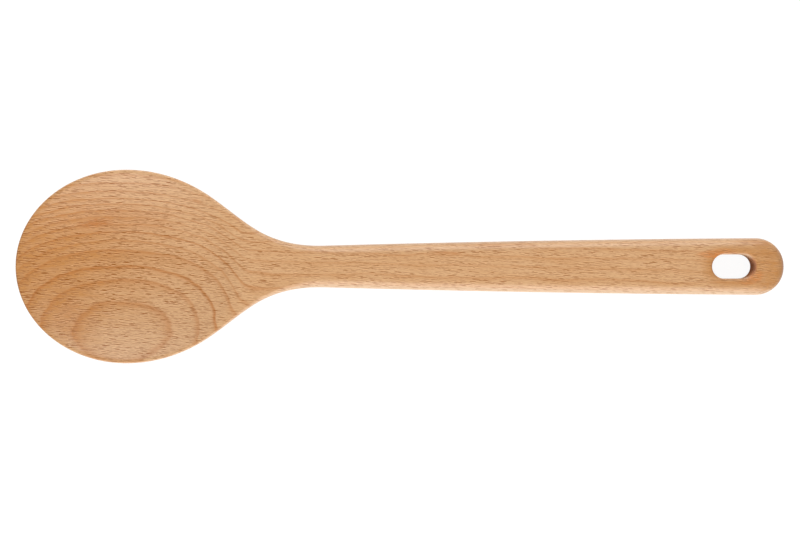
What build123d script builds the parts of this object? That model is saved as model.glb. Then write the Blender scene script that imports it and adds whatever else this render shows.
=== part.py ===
from build123d import *
import math
import os

# Wooden cooking spoon, cut from one board of solid beech, in millimetres.
# While it is drawn, X = 0 is the widest place of the bowl, +X runs to the handle's end and
# Z = 0 is the flat top of the board. At the end it is laid down at rest in its own frame.

# Plan outline: the reaches are measured from the widest place of the bowl
overall_length = 300.0
bowl_width = 75.4
bowl_tip_reach = 43.1
shoulder_reach = 30.3
shoulder_width = 57.5
flank_reach = 45.0
flank_width = 35.8
root_reach = 57.0
root_width = 22.3
neck_reach = 77.0
neck_width = 16.4
handle_middle_width = 20.6
handle_end_width = 22.4
handle_end_rounding = 10.9

# Thickness and edges
bowl_height = 14.0
neck_thickness = 10.0
handle_end_thickness = 8.6
rim_thickness = 3.0
rim_top_rounding = 0.7
rim_low_rounding = 1.2
handle_rounding = 4.2

# Hollow of the bowl
hollow_depth = 9.0
hollow_back_reach = 45.2
rim_land = 0.4

# Slot for hanging the spoon up
slot_length = 17.0
slot_width = 9.5
slot_from_end = 11.75
slot_edge_rounding = 1.0

# Where the bow of the handle's sides is measured, as a share of the way from neck to end
middle_share = 0.53
# Where the back of the bowl becomes the plain handle, as a share of the neck's reach
handle_start_share = 1.15
# How many steps the back of the bowl and the neck are drawn in, from the widest section to
# the plain handle. One more step lies ahead, so that the surface starts out level.
section_count = 14
# The most of a wall's thickness that one of its two roundings may take
wall_share = 0.49

bowl_half = bowl_width / 2
end_at = overall_length - bowl_tip_reach
middle_at = neck_reach + middle_share * (end_at - neck_reach)
handle_start = handle_start_share * neck_reach
bar_rounding = min(handle_rounding, wall_share * handle_end_thickness)

# The outline: half an ellipse round the tip, shoulders that sweep into the neck, a handle
# with slightly bowed sides, and a round end
with BuildSketch() as outline:
    with BuildLine():
        tip = EllipticalCenterArc((0, 0), bowl_tip_reach, bowl_half, 180, arc_size=-90)
        side = ThreePointArc(
            (neck_reach, neck_width / 2),
            (middle_at, handle_middle_width / 2),
            (end_at, handle_end_width / 2),
        )
        Spline(
            tip @ 1,
            (shoulder_reach, shoulder_width / 2),
            (flank_reach, flank_width / 2),
            (root_reach, root_width / 2),
            side @ 0,
            tangents=(tip % 1, side % 0),
        )
        Line(side @ 1, (end_at, 0))
        mirror(about=Plane.XZ)
    make_face()
    end_corners = outline.vertices().sort_by(Axis.X)[-2:]
    fillet(end_corners, min(handle_end_rounding, wall_share * handle_end_width))

plan = outline.sketch.faces()[0]


def half_width(x):
    """Half the width of the outline at one place along the spoon."""
    across = Edge.make_line((x, -bowl_width, 0), (x, bowl_width, 0))
    return (plan & across).length / 2


def blend(start, end, share):
    """The size that lies a share of the way from one size to another."""
    return start + share * (end - start)


def cross_section(x, neck_share):
    """The spoon cut across: a dome under a thin rim at the bowl, 0, a plain bar at 1."""
    half = half_width(abs(x))
    depth = blend(bowl_height, neck_thickness, neck_share)
    edge = blend(rim_thickness, neck_thickness, neck_share)
    # the top edge stays crisp along the hollow and is only rounded more beyond it
    top_rounding = blend(rim_top_rounding, bar_rounding, neck_share**3)
    low_rounding = blend(rim_low_rounding, bar_rounding, neck_share)
    with BuildSketch(Plane.YZ.offset(x)) as section:
        with BuildLine():
            Polyline((-half, -edge), (-half, 0), (half, 0), (half, -edge))
            ThreePointArc((half, -edge), (0, -depth), (-half, -edge))
        make_face()
        fillet(section.vertices().group_by(Axis.Y)[-1], top_rounding)
        fillet(section.vertices().group_by(Axis.Y)[0], low_rounding)
    return section.sketch.faces()[0]


# Plain handle: a bar of the outline's shape, thinner towards its end, with round edges
taper = neck_thickness - handle_end_thickness
handle_length = end_at - handle_start
with BuildPart() as handle:
    add(plan)
    extrude(amount=-neck_thickness)
    split(bisect_by=Plane.YZ.offset(handle_start), keep=Keep.TOP)
    underside = Plane(
        (handle_start, 0, -neck_thickness),
        x_dir=(handle_length, 0, taper),
        z_dir=(-taper, 0, handle_length),
    )
    split(bisect_by=underside, keep=Keep.TOP)
    start_edges = handle.faces().sort_by(Axis.X)[0].edges()
    flats = handle.faces().filter_by(GeomType.PLANE).sort_by(Axis.Z)
    fillet((flats[-1].edges() + flats[0].edges()) - start_edges, bar_rounding)

# Back half of the bowl and the neck: from the dome to the plain handle
with BuildPart() as back_half:
    sections = []
    for step in range(-1, section_count):
        along_share = step / section_count
        neck_share = (1 - math.cos(math.pi * along_share)) / 2
        sections.append(cross_section(along_share * handle_start, neck_share))
    sections.append(handle.faces().sort_by(Axis.X)[0])
    loft(sections=sections)
    split(bisect_by=Plane.YZ, keep=Keep.TOP)

# Front half of the bowl: the widest section, turned about the bowl's middle and drawn out
with BuildPart() as front_half:
    with BuildSketch(Plane.YZ) as widest:
        add(Plane.YZ.to_local_coords(cross_section(0, 0)))
        split(bisect_by=Plane.YZ, keep=Keep.TOP)
    revolve(axis=Axis.Z, revolution_arc=180)
    scale(by=(bowl_tip_reach / bowl_half, 1, 1))

# The hollow is an oval dish: a ball's cap, drawn out to the front and to the back
hollow_margin = rim_top_rounding + rim_land
hollow_half = bowl_half - hollow_margin
ball_radius = (hollow_half**2 + hollow_depth**2) / (2 * hollow_depth)


def half_hollow(reach, kept):
    """One half of the dish, from the bowl's widest place to a reach along the spoon."""
    with BuildPart() as dish:
        with Locations((0, 0, ball_radius - hollow_depth)):
            Sphere(ball_radius)
        split(bisect_by=Plane.YZ, keep=kept)
        scale(by=(reach / hollow_half, 1, 1))
    return dish.part


# The three portions are one piece of wood, which is then hollowed and slotted
slot_at = end_at - slot_from_end - slot_length / 2
slot_span = (slot_at - slot_length / 2, slot_at + slot_length / 2)
with BuildPart() as carved:
    add(front_half.part)
    add(back_half.part)
    add(handle.part)
    add(half_hollow(bowl_tip_reach - hollow_margin, Keep.BOTTOM), mode=Mode.SUBTRACT)
    add(half_hollow(hollow_back_reach, Keep.TOP), mode=Mode.SUBTRACT)
    with BuildSketch() as slot:
        with Locations((slot_at, 0)):
            SlotOverall(slot_length, slot_width)
    extrude(amount=-bowl_height, mode=Mode.SUBTRACT)
    slot_edges = carved.faces().filter_by_position(Axis.X, *slot_span).edges()
    fillet(slot_edges - slot_edges.filter_by(Axis.Z), slot_edge_rounding)

# Laid down at rest, the spoon stands on the bowl's back and on the end of the handle, so
# its top slopes down a little towards the end. The origin is below the middle of its box.
rest_tilt = math.degrees(math.atan2(bowl_height - handle_end_thickness, end_at))
laid = carved.part.rotate(Axis.Y, rest_tilt)
box = laid.bounding_box()
with BuildPart() as spoon:
    with Locations((-box.center().X, -box.center().Y, -box.min.Z)):
        add(laid)

spoon.part.label = "spoon"
os.makedirs("parts", exist_ok=True)
export_step(spoon.part, "parts/spoon.step")
print("spoon", spoon.part.volume, spoon.part.is_valid, spoon.part.bounding_box())
print("slot edges", len(slot_edges), "rest tilt", rest_tilt)
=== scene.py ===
# %% [markdown]
# # A wooden cooking spoon
#
# The spoon is one piece of beech: an oval bowl with a shallow hollow, a neck, and a long
# flat handle with round edges and a slot to hang it by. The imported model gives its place
# and size. Here it gets a fine, even mesh and a finish of wood that is worked out in three
# dimensions, so that the grain runs through the bowl and the handle as it does in a board.

# %% The frame
import math

import bpy
import numpy as np
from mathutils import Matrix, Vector


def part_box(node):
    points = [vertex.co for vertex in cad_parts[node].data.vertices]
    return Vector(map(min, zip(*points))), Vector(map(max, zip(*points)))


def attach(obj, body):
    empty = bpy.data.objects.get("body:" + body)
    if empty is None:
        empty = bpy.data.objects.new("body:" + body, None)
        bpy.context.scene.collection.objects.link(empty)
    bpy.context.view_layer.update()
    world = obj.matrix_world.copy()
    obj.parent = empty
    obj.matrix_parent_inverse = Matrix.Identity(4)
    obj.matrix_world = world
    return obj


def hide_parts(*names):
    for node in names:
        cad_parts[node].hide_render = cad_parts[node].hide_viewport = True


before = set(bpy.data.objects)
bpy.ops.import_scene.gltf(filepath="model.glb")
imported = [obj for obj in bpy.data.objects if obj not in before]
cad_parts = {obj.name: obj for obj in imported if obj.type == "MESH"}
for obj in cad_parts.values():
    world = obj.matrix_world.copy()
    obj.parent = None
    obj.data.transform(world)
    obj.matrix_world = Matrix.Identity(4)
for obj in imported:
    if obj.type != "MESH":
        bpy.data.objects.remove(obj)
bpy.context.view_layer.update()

low, high = (np.array(corner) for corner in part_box("spoon"))
MM = 0.001
print("the frame's spoon, mm:", np.round((high - low) / MM, 2))

# %% [markdown]
# ## Sizes
#
# These are the sizes a spoon carver would mark on the board, in millimetres. While the
# spoon is drawn, x = 0 is the widest place of the bowl, x grows towards the handle's end
# and z = 0 is the flat top of the board. The width of the bowl is the frame's own.

# %% Sizes of the board, the bowl and the slot
overall_length = 300.0
tip_reach = 43.1
end_at = overall_length - tip_reach
bowl_half = (high[1] - low[1]) / 2 / MM
bowl_height = 14.0
neck_thickness = 10.0
end_thickness = 8.6
handle_start = 88.55
rim_thickness = 3.0
rim_top_rounding = 0.7
rim_low_rounding = 1.2
handle_rounding = 4.2
end_rounding = 10.9

hollow_depth = 9.0
rim_land = 0.4
hollow_margin = rim_top_rounding + rim_land
hollow_half = bowl_half - hollow_margin
hollow_front = tip_reach - hollow_margin
hollow_back = 45.2

slot_length = 17.0
slot_radius = 4.75
slot_rounding = 1.0
slot_from_end = 11.75
slot_at = end_at - slot_from_end - slot_length / 2
print("half the bowl's width, mm:", round(bowl_half, 2), "the slot's middle:", slot_at)

# %% [markdown]
# ## The outline
#
# Seen from above, the front of the bowl is half an ellipse and the handle's end is nearly
# half a circle. The handle's sides are slightly bowed, so each is an arc through three
# places: the neck, a place near the middle, and the end.

# %% The handle's side
neck_at, neck_half = 77.0, 8.2
MIDDLE_SHARE = 0.53
middle_at, middle_half = neck_at + MIDDLE_SHARE * (end_at - neck_at), 10.3
end_half = 11.2


def circle_through(a, b, c):
    """The centre and the radius of the circle through three points."""
    rows = 2 * np.array([np.subtract(b, a), np.subtract(c, a)])
    right = [np.dot(b, b) - np.dot(a, a), np.dot(c, c) - np.dot(a, a)]
    centre = np.linalg.solve(rows, right)
    return centre, np.linalg.norm(np.subtract(a, centre))


side_centre, side_radius = circle_through(
    (neck_at, neck_half), (middle_at, middle_half), (end_at, end_half))


def side_half(x):
    """Half the width of the handle, whose side is a very flat arc."""
    return side_centre[1] + math.sqrt(side_radius ** 2 - (x - side_centre[0]) ** 2)


print("radius of the handle's side, mm:", round(side_radius))

# %% [markdown]
# From the widest place to the neck the half width follows a cubic spline through the marked
# places, because a spline has no kinks where its pieces meet. It is solved here directly:
# the slopes at the marks are the ones that make the bending change evenly.

# %% Half the width along the spoon
marks = np.array([
    [0.0, bowl_half],
    [16.0, 35.35],
    [30.3, 28.75],
    [37.5, 23.60],
    [45.0, 17.90],
    [51.0, 13.95],
    [57.0, 11.15],
    [65.0, 8.98],
    [neck_at, neck_half],
])


def spline_slopes(x, y, first, last):
    """The slopes at the marks of the cubic spline with these slopes at its two ends."""
    step = np.diff(x)
    rise = np.diff(y) / step
    count = len(x)
    rows = np.eye(count)
    right = np.zeros(count)
    right[0], right[-1] = first, last
    for i in range(1, count - 1):
        rows[i, i - 1:i + 2] = 1 / step[i - 1], 2 / step[i - 1] + 2 / step[i], 1 / step[i]
        right[i] = 3 * (rise[i - 1] / step[i - 1] + rise[i] / step[i])
    return np.linalg.solve(rows, right)


neck_slope = (side_half(neck_at + 1) - side_half(neck_at - 1)) / 2
slopes = spline_slopes(marks[:, 0], marks[:, 1], 0.0, neck_slope)


def half_width(x):
    """Half the spoon's width at x, between the bowl's widest place and the round end."""
    if x >= neck_at:
        return side_half(x)
    i = int(np.clip(np.searchsorted(marks[:, 0], x) - 1, 0, len(marks) - 2))
    (x0, y0), (x1, y1) = marks[i], marks[i + 1]
    step = x1 - x0
    t = (x - x0) / step
    return ((1 + 2 * t) * (1 - t) ** 2 * y0 + t * (1 - t) ** 2 * step * slopes[i]
            + t * t * (3 - 2 * t) * y1 - t * t * (1 - t) * step * slopes[i + 1])


print("half width at the neck, mm:", round(half_width(neck_at), 2))

# %% [markdown]
# ## The hollow
#
# The hollow is an oval dish, cut by a tool that swings in an arc. It is taken off the top
# of every section. Its edge is crisp along the rim and soft where it runs out towards the
# neck, so the two surfaces are joined by a smooth maximum whose width grows to the back.

# %% How far the hollow lies below the top of the board
RIM_SOFTNESS, BACK_SOFTNESS = 0.3, 1.5
SOFTENING_FROM, SOFTENING_LENGTH = 22.0, 20.0
BALL_SHARE = 0.98
ball = (hollow_half ** 2 + hollow_depth ** 2) / (2 * hollow_depth)


def mix(a, b, share):
    return a + (b - a) * share


def hollow(x, y):
    """The depth of the hollow at a place of the board, nought outside it."""
    reach = np.where(x < 0, hollow_front, hollow_back)
    across = np.sqrt((x / reach) ** 2 + (y / hollow_half) ** 2) * hollow_half
    across = np.minimum(across, BALL_SHARE * ball)
    dish = np.sqrt(ball ** 2 - across ** 2) - (ball - hollow_depth)
    back_share = np.clip((x - SOFTENING_FROM) / SOFTENING_LENGTH, 0, 1) ** 2
    soft = mix(RIM_SOFTNESS, BACK_SOFTNESS, back_share)
    near = np.maximum(soft - np.abs(dish), 0) / soft
    return np.maximum(dish, 0) + near ** 2 * soft / 4


print("radius of the hollow's ball, mm:", round(ball, 1))

# %% [markdown]
# ## The cross section
#
# Cut across, the bowl is a thin rim over a dome, and the handle is a bar with round edges.
# One drawing serves both: a flat top, a rounding, a short side, a second rounding and a
# back that is curved or flat. A few of the top's points stand close together at the
# hollow's edge, to keep it sharp. Behind the bowl there is no edge left to follow, so there
# the close points glide to a fixed share of the width.

# %% The top's points
INNER_CELLS, EDGE_CELLS, LAND_CELLS = 34, 7, 5
EDGE_LOST_SHARE, EDGE_GLIDE_SHARE = 0.72, 0.05
PLAIN_EDGE_SHARE, WIDEST_EDGE_SHARE = 0.62, 0.985
EDGE_ZONE, EDGE_ZONE_SHARE = 1.2, 0.08


def top_spacing(x, limit):
    """The top's points from the middle to where the rounding begins."""
    edge = hollow_half * math.sqrt(max(1 - (x / hollow_back) ** 2, 0))
    share = max(edge / limit, 0.0)
    follows = 1 / (1 + math.exp(-(share - EDGE_LOST_SHARE) / EDGE_GLIDE_SHARE))
    edge = limit * min(mix(PLAIN_EDGE_SHARE, share, follows), WIDEST_EDGE_SHARE)
    before = edge - min(EDGE_ZONE, EDGE_ZONE_SHARE * limit)
    return np.concatenate([
        np.linspace(0, before, INNER_CELLS + 1),
        np.linspace(before, edge, EDGE_CELLS + 1)[1:],
        np.linspace(edge, limit, LAND_CELLS + 1)[1:],
    ])


TOP_CELLS = INNER_CELLS + EDGE_CELLS + LAND_CELLS
print("cells from the top's middle to the rounding:", TOP_CELLS)

# %% [markdown]
# A share, 0 at the bowl and 1 at the handle, mixes the sizes, so the dome melts into the
# bar along the neck as it does under a carver's spokeshave. The back of the bowl is an arc
# of a circle, and the lower rounding runs into it without a kink.

# %% Half of one cross section, from the top's middle to the back's middle
ARC_CELLS, SIDE_CELLS, BACK_CELLS = 10, 2, 46
PROFILE = TOP_CELLS + 2 * ARC_CELLS + SIDE_CELLS + BACK_CELLS + 1
LEAST_SAG = 0.01


def cross_section(x):
    """Points (y, z) of half the section at x, without the hollow."""
    share = (1 - math.cos(math.pi * min(max(x, 0) / handle_start, 1))) / 2
    half = half_width(x)
    taper = max(x - handle_start, 0) / (end_at - handle_start)
    bar = mix(neck_thickness, end_thickness, taper)
    depth = mix(bowl_height, bar, share)
    edge = mix(rim_thickness, bar, share)
    top = mix(rim_top_rounding, handle_rounding, share ** 3)
    under = mix(rim_low_rounding, handle_rounding, share)
    turn = np.linspace(0, math.pi / 2, ARC_CELLS + 1)[1:]
    y = list(top_spacing(x, half - top))
    z = [0.0] * len(y)
    y += list(half - top + top * np.sin(turn))
    z += list(top * np.cos(turn) - top)
    sag = depth - edge
    curved = sag > LEAST_SAG
    low_y = half - under
    if curved:
        back_radius = (half ** 2 + sag ** 2) / (2 * sag)
        centre_z = back_radius - depth
        inner = back_radius - under
        low_z = centre_z - math.sqrt(inner ** 2 - low_y ** 2)
        lean = math.asin(low_y / inner)
    else:
        low_z, lean = under - depth, 0.0
    y += [half] * SIDE_CELLS
    z += list(np.linspace(-top, low_z, SIDE_CELLS + 1)[1:])
    turn = np.linspace(math.pi / 2, lean, ARC_CELLS + 1)[1:]
    y += list(low_y + under * np.sin(turn))
    z += list(low_z - under * np.cos(turn))
    run = np.linspace(y[-1], 0, BACK_CELLS + 1)[1:]
    y += list(run)
    z += list(centre_z - np.sqrt(back_radius ** 2 - run ** 2) if curved
              else [-depth] * BACK_CELLS)
    return np.array([y, z]).T


print("points in half a section:", PROFILE)

# %% [markdown]
# ## The mesh
#
# The mesh is made of four-sided faces that share their points, because such faces bend
# evenly and shade without creases. Its middle is a row of cross sections from the bowl's
# widest place to a place before the slot. They stand closer together at the neck, where
# the shape changes fastest.

# %% The row of sections
FLARE_END, NECK_END, END_REGION = 60, 96, 14.0
LAST_SECTION = slot_at - END_REGION
FLARE_ROWS, NECK_ROWS, HANDLE_ROWS = 80, 36, 78
stations = np.concatenate([
    np.linspace(0, FLARE_END, FLARE_ROWS + 1),
    np.linspace(FLARE_END, NECK_END, NECK_ROWS + 1)[1:],
    np.linspace(NECK_END, LAST_SECTION, HANDLE_ROWS + 1)[1:],
])
UPPER_POINTS = TOP_CELLS + ARC_CELLS + 1
points, faces, grid = [], [], []


def add_point(x, y, z):
    points.append((float(x), float(y), float(z)))
    return len(points) - 1


for x in stations:
    profile = cross_section(x)
    y, z = profile[:, 0], profile[:, 1]
    z[:UPPER_POINTS] -= hollow(np.full(UPPER_POINTS, x), y[:UPPER_POINTS])
    right = [add_point(x, y[i], z[i]) for i in range(PROFILE)]
    left = list(right)
    for i in range(1, PROFILE - 1):
        left[i] = add_point(x, -y[i], z[i])
    grid.append((right, left))

for (right, left), (next_right, next_left) in zip(grid, grid[1:]):
    for i in range(PROFILE - 1):
        faces.append((right[i], next_right[i], next_right[i + 1], right[i + 1]))
        faces.append((left[i + 1], next_left[i + 1], next_left[i], left[i]))
print("sections:", len(grid), "faces:", len(faces))

# %% [markdown]
# The front of the bowl is the widest section, turned about an upright axis and drawn out to
# the tip. The hollow and the rim are two different ovals, so between the hollow's edge and
# the rounding the stretch changes from the one's to the other's.

# %% The front of the bowl
FRONT_TURNS = 96
widest = cross_section(0.0)
outer_stretch = tip_reach / bowl_half
inner_stretch = hollow_front / hollow_half
flat_limit = bowl_half - rim_top_rounding
stretch = np.interp(widest[:, 0], [hollow_half, flat_limit], [inner_stretch, outer_stretch])
stretch[UPPER_POINTS:] = outer_stretch
rings = [grid[0][0]]
for t in range(1, FRONT_TURNS):
    angle = math.pi * t / FRONT_TURNS
    ring = [grid[0][0][0]]
    for i in range(1, PROFILE - 1):
        out, z = widest[i]
        x = -out * math.sin(angle) * stretch[i]
        y = out * math.cos(angle)
        if i < UPPER_POINTS:
            z -= float(hollow(x, y))
        ring.append(add_point(x, y, z))
    rings.append(ring + [grid[0][0][-1]])
rings.append(grid[0][1])
for a, b in zip(rings, rings[1:]):
    for i in range(PROFILE - 1):
        quad = [a[i], a[i + 1], b[i + 1], b[i]]
        faces.append(tuple(dict.fromkeys(quad)))
print("turns of the bowl's front:", len(rings), "faces:", len(faces))

# %% [markdown]
# A handle like this is rounded with a router that runs all the way round its end. So the
# rounded edge of the last section is swept along the outline: straight on, round the two
# corners and back on the other side. Its lower half follows the handle's taper.

# %% The outline of the handle's end
SIDE_STEPS, CORNER_STEPS = 12, 30
corner_x = end_at - end_rounding
corner_y = side_half(corner_x) - end_rounding
path = []
for x in np.linspace(LAST_SECTION, corner_x, SIDE_STEPS + 1)[:-1]:
    path.append((x, side_half(x), 0.0))
for angle in np.linspace(0, math.pi / 2, CORNER_STEPS + 1):
    path.append((corner_x + end_rounding * math.sin(angle),
                 corner_y + end_rounding * math.cos(angle), angle))
path += [(x, -y, math.pi - angle) for x, y, angle in reversed(path)]
print("places round the end:", len(path))

# %% The round edge of the handle's end
band_to = PROFILE - 1 - BACK_CELLS
end_profile = cross_section(LAST_SECTION)
inward = end_profile[TOP_CELLS:band_to + 1, 0] - half_width(LAST_SECTION)
start_depth = -end_profile[-1, 1]


def bar_depth(x):
    """How thick the handle is at x."""
    return mix(neck_thickness, end_thickness,
               (x - handle_start) / (end_at - handle_start))


band = [grid[-1][0][TOP_CELLS:band_to + 1]]
for x, y, angle in path[1:-1]:
    loop = []
    for i, back in enumerate(inward):
        z = end_profile[TOP_CELLS + i, 1]
        at_x = x + back * math.sin(angle)
        at_y = y + back * math.cos(angle)
        lower = min(max((-z - handle_rounding) / (start_depth - 2 * handle_rounding), 0), 1)
        z -= lower * (bar_depth(at_x) - start_depth)
        loop.append(add_point(at_x, at_y, z))
    band.append(loop)
band.append(grid[-1][1][TOP_CELLS:band_to + 1])
for a, b in zip(band, band[1:]):
    for i in range(len(a) - 1):
        faces.append((a[i], b[i], b[i + 1], a[i + 1]))
print("loops round the end:", len(band), "faces:", len(faces))

# %% [markdown]
# The slot is milled through the handle, and both of its rims are rounded by hand. Loops of
# points lead from the edge of the handle to the rim, round it, and down the wall, on the
# top and on the back. Each loop lies at one distance from the slot's middle line.

# %% The slot's loops
ROUNDING_STEPS, WALL_STEPS = 7, 6
WAY_SHARES = (0.3, 0.6, 0.85)
straight = slot_length / 2 - slot_radius


def slot_loop(rim, top, radius, inset, share=1.0):
    """A loop at a radius from the slot's middle line, or a share of the way to it."""
    loop = []
    for index in rim:
        x, y, z = points[index]
        core = min(max(x - slot_at, -straight), straight)
        away = np.array([x - slot_at - core, y])
        away = away / np.linalg.norm(away)
        x = mix(x, slot_at + core + radius * away[0], share)
        y = mix(y, radius * away[1], share)
        loop.append(add_point(x, y, -inset if top else inset - bar_depth(x)))
    return loop


def join(loops, flip):
    """Fills the bands between loops that follow each other."""
    for a, b in zip(loops, loops[1:]):
        for i in range(len(a)):
            j = (i + 1) % len(a)
            quad = (a[i], b[i], b[j], a[j])
            faces.append(quad[::-1] if flip else quad)


last_right, last_left = grid[-1]
top_rim = [loop[0] for loop in band] + last_left[TOP_CELLS - 1:0:-1] + last_right[:TOP_CELLS]
back_rim = ([loop[-1] for loop in band] + last_left[band_to + 1:PROFILE - 1]
            + last_right[:band_to:-1])
print("points in a loop:", len(top_rim), len(back_rim))

# %% The slot's rims and its wall
inner_rings = []
for rim, top in ((top_rim, True), (back_rim, False)):
    loops = [rim]
    for share in WAY_SHARES:
        loops.append(slot_loop(rim, top, slot_radius + slot_rounding, 0.0, share))
    for step in range(ROUNDING_STEPS + 1):
        turn = math.pi / 2 * step / ROUNDING_STEPS
        radius = slot_radius + slot_rounding * (1 - math.sin(turn))
        inset = slot_rounding * (1 - math.cos(turn))
        loops.append(slot_loop(rim, top, radius, inset))
    join(loops, not top)
    inner_rings.append(loops[-1])

upper_ring, lower_ring = inner_rings
ends = [(np.array(points[a]), np.array(points[b])) for a, b in zip(upper_ring, lower_ring)]
wall = [upper_ring]
for step in range(1, WALL_STEPS):
    wall.append([add_point(*mix(a, b, step / WALL_STEPS)) for a, b in ends])
join(wall + [lower_ring], False)
print("points:", len(points), "faces:", len(faces))

# %% [markdown]
# ## At rest
#
# The spoon lies on the back of its bowl and on the end of its handle, so its top slopes
# down a little towards the end. The same turn and shift bring the drawing into the frame.

# %% Lay the spoon down where the frame has it
tilt = math.atan2(bowl_height - end_thickness, end_at)
turn_to_rest = np.array([
    [math.cos(tilt), 0, math.sin(tilt)],
    [0, 1, 0],
    [-math.sin(tilt), 0, math.cos(tilt)],
])
laid = np.array(points) @ turn_to_rest.T
drawn_low, drawn_high = laid.min(axis=0), laid.max(axis=0)
middle = (low + high) / 2 / MM
shift = middle - (drawn_low + drawn_high) / 2
fit = np.minimum((high - low) / MM / (drawn_high - drawn_low), 1.0)
laid = (laid + shift - middle) * fit + middle
print("shift, mm:", np.round(shift, 3), "fitted by", np.round(fit, 5))

# %% The carved spoon
mesh = bpy.data.meshes.new("carved_spoon")
mesh.from_pydata([tuple(place * MM) for place in laid], [], faces)
mesh.validate()
mesh.update()
spoon = bpy.data.objects.new("carved_spoon", mesh)
bpy.context.collection.objects.link(spoon)
for polygon in mesh.polygons:
    polygon.use_smooth = True
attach(spoon, "root")
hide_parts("spoon")
print("carved_spoon:", len(mesh.vertices), "points")

# %% [markdown]
# ## Shader maths as plain expressions
#
# A material is a net of nodes, which is hard to read as a list of links. A small class
# wraps one socket and gives it the signs of arithmetic, so the wood can be written as a
# formula. Each sign also works with the number on its left, as in 1 - mask. Numbers alone
# are worked out in Python and make no node.

# %% One value in a material
def combined(operation, *values):
    """A node of arithmetic on values in this order, as vectors if a signal is one."""
    signals = [value for value in values if isinstance(value, Signal)]
    kind = "ShaderNodeMath"
    if any(signal.socket.type == "VECTOR" for signal in signals):
        kind = "ShaderNodeVectorMath"
        values = [(v, v, v) if isinstance(v, (int, float)) else v for v in values]
    inputs = dict(enumerate(values))
    return signals[0].finish.node(kind, {"operation": operation}, inputs)[0]


class Signal:
    def __init__(self, finish, socket):
        self.finish, self.socket = finish, socket

    def math(self, operation, *others):
        return combined(operation, self, *others)

    def __add__(self, other):
        return combined("ADD", self, other)

    def __radd__(self, other):
        return combined("ADD", other, self)

    def __sub__(self, other):
        return combined("SUBTRACT", self, other)

    def __rsub__(self, other):
        return combined("SUBTRACT", other, self)

    def __mul__(self, other):
        return combined("MULTIPLY", self, other)

    def __rmul__(self, other):
        return combined("MULTIPLY", other, self)

    def __truediv__(self, other):
        return combined("DIVIDE", self, other)

    def __rtruediv__(self, other):
        return combined("DIVIDE", other, self)

    def __pow__(self, other):
        return combined("POWER", self, other)

    def __rpow__(self, other):
        return combined("POWER", other, self)

    def clamped(self):
        return self.between(0, 1, 0, 1)

    def between(self, low, high, to_low=0.0, to_high=1.0, kind="LINEAR"):
        """Maps a range of values to another, and holds them inside it."""
        inputs = {"Value": self, "From Min": low, "From Max": high,
                  "To Min": to_low, "To Max": to_high}
        return self.finish.node("ShaderNodeMapRange", {"interpolation_type": kind}, inputs)[0]


# %% [markdown]
# A second class holds the net of nodes of one owner, which is a material or the world. All
# its nodes come from one method: it takes the type, the settings and what goes into each
# socket, a value or another signal, and it gives the outputs back as signals. A range that
# has a name is written as the values from, to, and what they turn into.

# %% The net of nodes of a material or of the world
class Finish:
    def __init__(self, owner):
        owner.use_nodes = True
        self.owner, self.tree = owner, owner.node_tree
        self.tree.nodes.clear()

    def node(self, kind, settings=None, inputs=None):
        """Makes a node, sets it up, fills or links its sockets and gives its outputs."""
        made = self.tree.nodes.new(kind)
        for name, value in (settings or {}).items():
            setattr(made, name, value)
        for name, value in (inputs or {}).items():
            socket = made.inputs[name]
            if isinstance(value, Signal):
                self.tree.links.new(value.socket, socket)
            else:
                socket.default_value = value
        return [Signal(self, socket) for socket in made.outputs]

    def blend(self, a, b, share):
        """Mixes two colours by a share."""
        return self.node("ShaderNodeMix", {"data_type": "RGBA"}, {6: a, 7: b, 0: share})[2]

    def vector(self, x, y, z):
        return self.node("ShaderNodeCombineXYZ", None, {0: x, 1: y, 2: z})[0]

    def parts(self, vector):
        return self.node("ShaderNodeSeparateXYZ", None, {0: vector})

    def curve(self, value, corners):
        """Follows straight lines from corner to corner, for values and results of 0 to 1."""
        result = self.node("ShaderNodeFloatCurve", None, {"Value": value})[0]
        mapping = result.socket.node.mapping
        line = mapping.curves[0]
        for place, height in corners[1:-1]:
            line.points.new(place, height)
        for point, corner in zip(line.points, corners):
            point.location = corner
            point.handle_type = "VECTOR"
        mapping.update()
        return result

    def noise(self, place, per_mm, detail=1.0, roughness=0.5):
        """Cloudy noise at a place, which changes so many times in a millimetre each way."""
        where = self.vector(*[part * times for part, times in zip(place, per_mm)])
        inputs = {"Vector": where, "Scale": 1.0, "Detail": detail, "Roughness": roughness}
        return self.node("ShaderNodeTexNoise", None, inputs)[0]


# %% [markdown]
# ## Beech
#
# A board is sawn from a round trunk, so its growth rings are tubes about the tree's heart.
# Where the carver's tool cuts through them, they show: as nested ovals in the hollow and as
# long bands on the flat handle. So the wood is worked out from the place in the board, not
# painted on the surface. The coordinates node gives the place on the spoon as it lies, and
# turning it back gives the place in the board.

# %% Where a point lies in the board, in millimetres
beech = Finish(bpy.data.materials.new("oiled_beech"))
coordinates = beech.node("ShaderNodeTexCoord")
facing, place = coordinates[1], coordinates[3]
frame_x, y, frame_z = beech.parts(place / MM - tuple(shift))
x = frame_x * math.cos(tilt) - frame_z * math.sin(tilt)
z = frame_x * math.sin(tilt) + frame_z * math.cos(tilt)
print("turned back by, degrees:", round(math.degrees(tilt), 2))

# %% [markdown]
# The heart lay below this board and a little to one side. It was bent, which makes the
# ovals short, and it ran nearly straight under the handle, which has bands along it. No
# tube is perfect: a long wave and a short one push the rings in and out.

# %% How far a point lies from the tree's heart
HEART_Y, HEART_Z = -33.7, -26.8
HEART_SLOPE, HEART_BEND = 0.0595, 0.00646
BEND_ENDS, BEND_FADE = 46.0, 5.0
GRAIN_SLOPE, HANDLE_SLOPE = 0.023, 0.022
WAVE_PER_MM, WAVE_SWING = (0.05, 0.12, 0.12), 1.6
WAVER_PER_MM, WAVER_SWING = (0.22, 0.4, 0.4), 0.7
MEAN = 0.5

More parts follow.
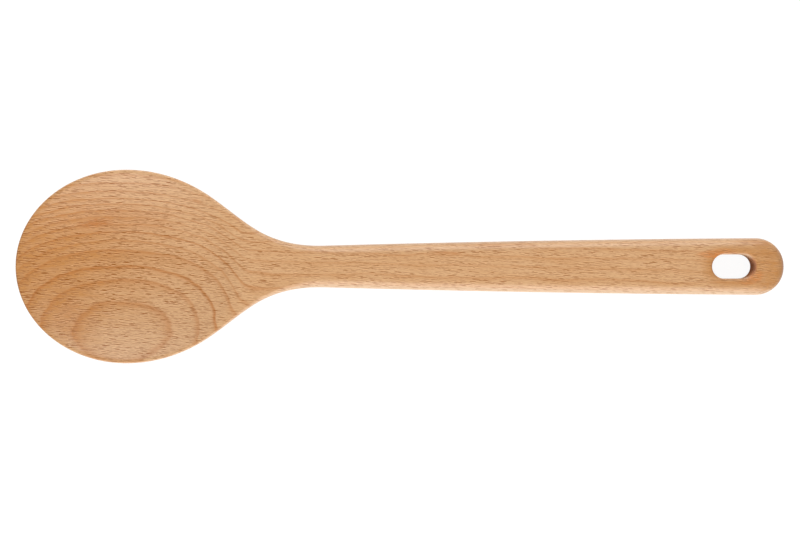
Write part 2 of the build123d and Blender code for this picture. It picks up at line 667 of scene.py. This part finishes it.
bent = x.math("SMOOTH_MIN", BEND_ENDS, BEND_FADE)
aside = y - HEART_Y + bent * GRAIN_SLOPE + (x - bent) * HANDLE_SLOPE
above = z - HEART_Z + bent * (bent * HEART_BEND + HEART_SLOPE)
wave = beech.noise((x, y, z), WAVE_PER_MM)
waver = beech.noise((x, y, z), WAVER_PER_MM)
radius = ((aside * aside + above * above) ** 0.5
          + (wave - MEAN) * WAVE_SWING + (waver - MEAN) * WAVER_SWING)
print("the heart lies below the board's top, mm:", -HEART_Z)

# %% [markdown]
# Good years make wide rings and dry years make narrow ones. The list gives the radius at
# which each year ends with a dark line of late wood, and how clear that line is. A curve
# turns the radius into the tree's age, and what is left of the age after the full years
# tells early wood from late wood.

# %% Growth rings
YEAR_ENDS = [
    (9.0, 0.6), (15.0, 0.6), (21.0, 0.6), (27.4, 0.46), (33.5, 0.48), (38.3, 0.76),
    (44.2, 0.48), (47.6, 0.40), (50.9, 0.65), (54.2, 0.42), (57.0, 0.32), (59.6, 0.5),
    (62.1, 0.5), (64.5, 0.5), (67.5, 0.4), (71.0, 0.4), (74.0, 0.4),
]
WIDEST_RADIUS = 80.0
PLAIN_CLEARNESS = 0.5
lifetime = len(YEAR_ENDS) + 1
age_corners = [(0.0, 0.0)]
clearness_corners = [(0.0, PLAIN_CLEARNESS)]
for year, (end, clearness) in enumerate(YEAR_ENDS):
    age_corners.append((end / WIDEST_RADIUS, (year + 1) / lifetime))
    clearness_corners.append((end / WIDEST_RADIUS, clearness))
age_corners.append((1.0, 1.0))
clearness_corners.append((1.0, PLAIN_CLEARNESS))
age = beech.curve(radius / WIDEST_RADIUS, age_corners) * lifetime
clear = beech.curve(radius / WIDEST_RADIUS, clearness_corners)
season = age.math("FRACT")
print("years in the wood:", lifetime)

# %% [markdown]
# The line itself grows slowly through the late wood and ends fast in the new year. It fades
# in and out along its way, and it is fainter on the handle than in the bowl.

# %% The dark line at the end of each year
LATE_WOOD = (0.68, 0.98, 0.0, 1.0, "SMOOTHSTEP")
NEW_YEAR = (0.0, 0.10, 1.0, 0.0, "SMOOTHSTEP")
FADING_PER_MM = (0.03, 0.06, 0.3)
FADING_LINE = (0.3, 0.6, 0.8, 1.0)
HANDLE_LINE = (42.0, 58.0, 1.0, 0.6)
fading = beech.noise((x, y, radius), FADING_PER_MM)
ring_line = ((season.between(*LATE_WOOD) ** 2 + season.between(*NEW_YEAR)) * clear
             * fading.between(*FADING_LINE) * x.between(*HANDLE_LINE))
print("the line takes the last", round(1 - LATE_WOOD[0], 2), "of a year's growth")

# %% [markdown]
# Beech has no bold pores, but countless rays: thin upright sheets of cells that run out
# from the heart. A flat cut meets them edge on, as short dark dashes along the grain. They
# are what makes beech look like beech. A cell texture scatters them: each of its cells has
# one centre, and round it lies one flat oval. The rows are sheared and warped, so that no
# lattice shows. Each dash has its own strength, and paler wood lies beside it.

# %% One field of dashes
DASH_SLOPE = 0.09
SHEET_HEIGHT = 2.2
ROW_SHIFT, ROW_WARP = 0.37, 1.2
UNEVENNESS = 0.88
DASH_STRENGTH, STRENGTH_POWER = (0.0, 1.0, 0.1, 1.0), 1.5
DARK_OVAL = (0.55, 1.15, 1.0, 0.0)
PALE_OVAL, PALE_NARROWNESS = (0.4, 1.2, 1.0, 0.0), 0.16
across = y + x * DASH_SLOPE


def dashes(cell_long, cell_wide, half_long, half_wide, seed):
    """Dark dashes of these half sizes, one in each uneven cell, and the pale wood beside."""
    row = across / cell_wide
    column = x / cell_long + row * ROW_SHIFT + wave * ROW_WARP + seed
    where = beech.vector(column, row, z / SHEET_HEIGHT)
    cell = beech.node("ShaderNodeTexVoronoi", {"voronoi_dimensions": "3D"},
                      {"Vector": where, "Scale": 1.0, "Randomness": UNEVENNESS})
    off_x, off_y, off_z = beech.parts(where - cell[2])
    off_along = (off_x - off_y * ROW_SHIFT) * (cell_long / half_long)
    along = off_along * off_along + off_z * off_z
    wide = (off_y * (cell_wide / half_wide)) ** 2
    strength = beech.parts(cell[1])[0].between(*DASH_STRENGTH) ** STRENGTH_POWER
    dark = (along + wide).between(*DARK_OVAL) * strength
    pale = (along + wide * PALE_NARROWNESS).between(*PALE_OVAL) * strength
    return dark, pale


# %% Rays and fibres
SHORT_DARK_SHARE, SHORT_PALE_SHARE = 0.8, 0.7
FIBRE_PER_MM = (1 / 1.6, 1 / 0.24, 1 / 0.5)
STREAK_PER_MM = (0.02, 0.45, 0.3)
CLOUD_PER_MM = (0.05, 0.09, 0.09)
long_rays, beside_long = dashes(
    cell_long=3.1, cell_wide=0.9, half_long=1.85, half_wide=0.20, seed=3.0)
short_rays, beside_short = dashes(
    cell_long=2.2, cell_wide=0.75, half_long=1.25, half_wide=0.17, seed=17.0)
rays = long_rays.math("MAXIMUM", short_rays * SHORT_DARK_SHARE)
beside = beside_long.math("MAXIMUM", beside_short * SHORT_PALE_SHARE)
fibre = beech.noise((x, across, z), FIBRE_PER_MM)
streak = beech.noise((x, across, z), STREAK_PER_MM, detail=3.0, roughness=0.6)
cloud = beech.noise((x, y, z), CLOUD_PER_MM, detail=2.0)
print("nodes in the wood so far:", len(beech.tree.nodes))

# %% [markdown]
# How the surface cuts the board changes its look. Where it cuts across the fibres, as at
# both ends and in the slot, the open ends drink more oil and turn darker. This darkening is
# partly painted shade: at both ends, which face no lamp, and on the slot's wall. On the sides
# the rays lie flat, so the dashes fade. The sides also carry painted light: the side that
# faces the near lamp is painted paler, a painted sheen, and the side that faces the far lamp
# is painted a darker grey, a painted shade. The direction that the surface faces and the
# distance from the slot tell these cuts apart.

# %% How the surface cuts the board, and where light and shade are painted
END_FACING = (0.55, 0.98)
FLAT_CUT = (0.2, 0.8, 0.3, 1.0)
NEAR_SHEEN_FACING = (0.56, 0.74, 0.0, 0.85)
FAR_SHADE_FACING = (0.70, 0.92, 0.0, 0.85)
WALL_BLEND = 0.6
face_x, face_y, face_z = beech.parts(facing)
# Ends and slot wall: darker end grain, partly painted shade.
end_grain_and_shade_share = face_x.math("ABSOLUTE").between(*END_FACING)
flat_cut = face_z.math("ABSOLUTE").between(*FLAT_CUT)
# Painted sheen on the side that faces the near lamp, painted shade on the side that faces the
# far lamp.
near_sheen_share = (face_y * -1.0).between(*NEAR_SHEEN_FACING)
far_shade_share = face_y.between(*FAR_SHADE_FACING)
slot_line = (x - slot_at).math("ABSOLUTE") - straight
from_slot = (slot_line.math("MAXIMUM", 0.0) ** 2 + y * y) ** 0.5
slot_wall = from_slot.between(slot_radius, slot_radius + WALL_BLEND, 1.0, 0.0)
print("the wall's colour ends at, mm from the slot's line:", slot_radius + WALL_BLEND)

# %% [markdown]
# The tip of the bowl, the rim round the slot and the handle's end are warmer than the rest.
# In the bowl the late wood is warm over a broad band, not only at its line, because the
# hollow cuts it at a low angle. Towards both rims the bowl is painted paler: a painted sheen
# where the hollow's slopes face the lamps.

# %% Warm zones, and painted sheen towards the bowl's rims
BOWL_WARMTH = (-44.0, 36.0, 0.86, 0.10, "SMOOTHSTEP")
RIM_PAINTED_SHEEN, SHEEN_SIDE_SHIFT = 0.00045, 0.001
SLOT_WARMTH = (slot_radius, 10.5, 0.75, 0.0, "SMOOTHSTEP")
END_WARMTH = (235.0, 252.0, 0.0, 0.7, "SMOOTHSTEP")
CLOUD_WARMTH, STREAK_WARMTH = 0.6, 0.9
LATE_BAND = (0.45, 0.95, 0.0, 1.0)
BAND_WARMTH = (-30.0, 25.0, 0.50, 0.15)
handle_warmth = from_slot.between(*SLOT_WARMTH).math("MAXIMUM", x.between(*END_WARMTH))
# Painted sheen: the bowl is paler towards both long rims, where its slopes face the lamps.
warmth_and_sheen = (x.between(*BOWL_WARMTH) - y * (y * RIM_PAINTED_SHEEN - SHEEN_SIDE_SHIFT) + handle_warmth
          + (cloud - MEAN) * CLOUD_WARMTH + (streak - MEAN) * STREAK_WARMTH
          + season.between(*LATE_BAND) * x.between(*BAND_WARMTH))
print("nodes in the wood so far:", len(beech.tree.nodes))

# %% [markdown]
# Three small reddish streaks lie in the wood, two in the bowl and one on the handle, and
# two broad, faint ones in the bowl. The milling tool has scorched two patches beside the
# slot. Each is an uneven oval along the grain. A line of the lists says where its middle
# is, its half length and half width, its slope and its strength.

# %% Streaks and scorched patches
RED_STREAKS = [
    (-13.0, 17.3, 7.5, 2.0, 0.12, 1.0),
    (125.0, 5.3, 7.0, 0.7, -0.04, 0.6),
    (28.0, 25.4, 2.6, 0.6, -0.25, 0.6),
    (-5.0, 18.0, 26.0, 6.0, 0.0, 0.28),
    (-23.5, -19.5, 5.0, 8.0, 0.0, 0.32),
]
SCORCHED_PATCHES = [
    (230.0, 5.0, 8.0, 1.9, 0.04, 0.95),
    (243.5, -4.6, 4.5, 2.4, 0.3, 0.95),
]
STAIN_RAGGEDNESS = 1.8
STAIN_OVAL = (0.1, 1.3, 1.0, 0.0)


def stain(at_x, at_y, half_long, half_wide, slope, strength):
    """An uneven oval patch, strongest in its middle, that lies along the grain."""
    off_x = (x - at_x) / half_long
    off_y = (y - at_y - (x - at_x) * slope) / half_wide
    ragged = off_x ** 2 + off_y ** 2 + (waver - MEAN) * STAIN_RAGGEDNESS
    return ragged.between(*STAIN_OVAL) * strength


def stains(patches):
    """All the patches of a list, the strongest where they meet."""
    shade = stain(*patches[0])
    for patch in patches[1:]:
        shade = shade.math("MAXIMUM", stain(*patch))
    return shade


red_streak, scorch = stains(RED_STREAKS), stains(SCORCHED_PATCHES)
print("streaks:", len(RED_STREAKS), "scorched patches:", len(SCORCHED_PATCHES))

# %% [markdown]
# The colour is built up in layers, as light and dark wood lie over each other in a glaze.
# It starts pale, and each layer tints it by its share. Warm zones, with a painted sheen
# towards the bowl's rims, and streaks come first. Then come fibres and rings, a painted sheen
# and a painted shade on the handle's two sides, and the rays. The cut ends come last, and
# their darkening is partly painted shade. The dashes are strongest at the bowl's tip and
# weaker near the bowl's long rims.

# %% Colours of the wood
PALE = (0.617, 0.368, 0.188, 1.0)
LIGHT = (0.840, 0.530, 0.285, 1.0)
WARM = (0.470, 0.207, 0.054, 1.0)
LATE = (0.440, 0.160, 0.036, 1.0)
RAY = (0.250, 0.074, 0.0, 1.0)
SCORCH = (0.540, 0.180, 0.036, 1.0)
# The cut ends' colours: darker end grain, with painted shade on the ends and on the slot's
# wall.
END_GRAIN_AND_SHADE = (0.320, 0.105, 0.042, 1.0)
SLOT_WALL_AND_SHADE = (0.420, 0.185, 0.100, 1.0)
# Painted sheen for the side that faces the near lamp, painted shade for the side that faces
# the far lamp.
PAINTED_NEAR_SHEEN = (0.600, 0.420, 0.275, 1.0)
PAINTED_FAR_SHADE = (0.480, 0.320, 0.205, 1.0)
FIBRE_TINT = (0.45, 0.80, 0.0, 0.35)
BESIDE_TINT, END_TINT = 0.45, 0.85
TIP_DASHES = (-40.0, 60.0, 1.46, 0.94)
RIM_DASHES = (6.0, 22.0, 0.98, 0.82)

ray_share = x.between(*TIP_DASHES) * y.math("ABSOLUTE").between(*RIM_DASHES) * flat_cut
# The cut ends are darker end grain, partly painted shade at both ends and on the slot's wall.
open_end_and_shade = beech.blend(END_GRAIN_AND_SHADE, SLOT_WALL_AND_SHADE, slot_wall)
layers = [
    # warm zones, with the bowl's painted sheen towards its rims
    (WARM, warmth_and_sheen.clamped()),
    (LATE, red_streak),
    (SCORCH, scorch),
    (RAY, fibre.between(*FIBRE_TINT)),
    (LIGHT, beside * BESIDE_TINT),
    (LATE, ring_line.clamped()),
    # painted sheen and painted shade on the handle's two sides
    (PAINTED_NEAR_SHEEN, near_sheen_share),
    (PAINTED_FAR_SHADE, far_shade_share),
    (RAY, (rays * ray_share).clamped()),
    # cut ends: end grain, partly painted shade
    (open_end_and_shade, end_grain_and_shade_share * END_TINT),
]
colour = PALE
for tint, share in layers:
    colour = beech.blend(colour, tint, share)
print("layers of colour:", len(layers))

# %% [markdown]
# The spoon is sanded and wiped with oil, so it has a soft sheen but no film. The rays are
# a little lower and rougher than the wood round them, which a fine bump shows. The wall of
# the slot can't be sanded as well, so it stays rough.

# %% The finished surface
FIBRE_RELIEF, RAY_RELIEF = 0.5, 0.6
FIBRE_ROUGHNESS = (0.3, 0.7, 0.36, 0.43)
RAY_ROUGHNESS, WALL_ROUGHNESS = 0.05, 0.5
relief = fibre * FIBRE_RELIEF - rays * RAY_RELIEF
bump = beech.node("ShaderNodeBump", None, {
    "Strength": 0.25, "Distance": 0.0002, "Height": relief})[0]
roughness = (fibre.between(*FIBRE_ROUGHNESS) + rays * RAY_ROUGHNESS
             + slot_wall * WALL_ROUGHNESS)
surface = beech.node("ShaderNodeBsdfPrincipled", None, {
    "Base Color": colour, "Roughness": roughness, "Normal": bump,
    "Specular IOR Level": 0.45})[0]
beech.node("ShaderNodeOutputMaterial", None, {0: surface})
mesh.materials.append(beech.owner)
print("nodes in the wood:", len(beech.tree.nodes))

# %% [markdown]
# ## Floor
#
# The spoon was photographed on a white ground. A light path node tells rays that show the
# backdrop, straight, in a gloss or through a glass, from rays that carry light between
# surfaces. To the first the paper is darker and glows by itself, so it turns white and
# still keeps the shadow. To the others it is plain light paper.

# %% The white paper
FLOOR_HALF, FLOOR_GAP = 1.5, 0.0001
PAPER_TONE, BACKDROP_TONE, BACKDROP_GLOW = 0.80, 0.15, 0.94


def backdrop_rays(finish):
    """1 for rays that show the backdrop: from the camera, off a gloss or through a glass."""
    ray_kinds = finish.node("ShaderNodeLightPath")
    return ray_kinds[0].math("MAXIMUM", ray_kinds[3]).math("MAXIMUM", ray_kinds[6])


floor_mesh = bpy.data.meshes.new("floor")
corners = [(-FLOOR_HALF, -FLOOR_HALF, 0), (FLOOR_HALF, -FLOOR_HALF, 0),
           (FLOOR_HALF, FLOOR_HALF, 0), (-FLOOR_HALF, FLOOR_HALF, 0)]
floor_mesh.from_pydata(corners, [], [(0, 1, 2, 3)])
floor = bpy.data.objects.new("floor", floor_mesh)
bpy.context.collection.objects.link(floor)
floor.location.z = low[2] - FLOOR_GAP
paper = Finish(bpy.data.materials.new("white_paper"))
seen = backdrop_rays(paper)
shade = seen.between(0, 1, PAPER_TONE, BACKDROP_TONE)
tone = paper.vector(shade, shade, shade)
plain = paper.node("ShaderNodeBsdfDiffuse", None, {"Color": tone})[0]
glow = paper.node("ShaderNodeEmission", None, {"Strength": seen * BACKDROP_GLOW})[0]
both = paper.node("ShaderNodeAddShader", None, {0: plain, 1: glow})[0]
paper.node("ShaderNodeOutputMaterial", None, {0: both})
floor_mesh.materials.append(paper.owner)
print("the paper's width, m:", 2 * FLOOR_HALF)

# %% [markdown]
# ## Light
#
# Long soft lamps stand low along both sides of the spoon, so both edges of the handle and
# the two slopes of the hollow that lie along it have a soft shine, while its ends stay
# darker. The near lamp is the taller one. The room adds a little light from everywhere, and
# the rays that show the backdrop see it white.

# %% Lamps and room
NEAR_PLACE, NEAR_SIZE, NEAR_RADIANCE = (0.0, -0.66, 0.33), (1.1, 0.50), 5.2
FAR_PLACE, FAR_SIZE, FAR_RADIANCE = (0.0, 0.65, 0.36), (1.1, 0.36), 5.85
ROOM_LIGHT, ROOM_SEEN = 0.16, 1.0


def softbox(name, place, size, radiance):
    """A flat lamp that faces the spoon, as bright as a surface of this radiance."""
    data = bpy.data.lights.new(name, "AREA")
    data.shape = "RECTANGLE"
    data.size, data.size_y = size
    data.energy = radiance * math.pi * size[0] * size[1]
    lamp = bpy.data.objects.new(name, data)
    bpy.context.collection.objects.link(lamp)
    lamp.location = place
    lamp.rotation_euler = (-Vector(place)).to_track_quat("-Z", "Y").to_euler()
    print(name, "power, W:", round(data.energy, 2))


softbox("near_lamp", NEAR_PLACE, NEAR_SIZE, NEAR_RADIANCE)
softbox("far_lamp", FAR_PLACE, FAR_SIZE, FAR_RADIANCE)

world = bpy.data.worlds.new("room")
bpy.context.scene.world = world
room = Finish(world)
brightness = backdrop_rays(room).between(0, 1, ROOM_LIGHT, ROOM_SEEN)
background = room.node("ShaderNodeBackground", None, {
    "Color": (1.0, 1.0, 1.0, 1.0), "Strength": brightness})[0]
room.node("ShaderNodeOutputWorld", None, {0: background})

# %% [markdown]
# ## Camera
#
# The photo was taken from straight above the spoon's flat top, so the camera stands at a
# right angle to the board and is turned by the same small tilt.

# %% The camera over the board
CAMERA_DISTANCE = 431.9
AIM_X = 106.57
LENS, SENSOR_WIDTH = 50.0, 36.0


def in_frame(x, y, z):
    """A place of the board, in millimetres, as a place of the frame, in metres."""
    return Vector(((turn_to_rest @ np.array([x, y, z])) + shift) * MM)


camera_data = bpy.data.cameras.new("camera")
camera_data.lens = LENS
camera_data.sensor_width = SENSOR_WIDTH
camera = bpy.data.objects.new("camera", camera_data)
bpy.context.collection.objects.link(camera)
camera.location = in_frame(AIM_X, 0.0, CAMERA_DISTANCE)
camera.rotation_euler = (0.0, tilt, 0.0)
bpy.context.scene.camera = camera
bpy.context.scene.view_settings.view_transform = "Standard"
print("camera, m:", [round(v, 4) for v in camera.location])
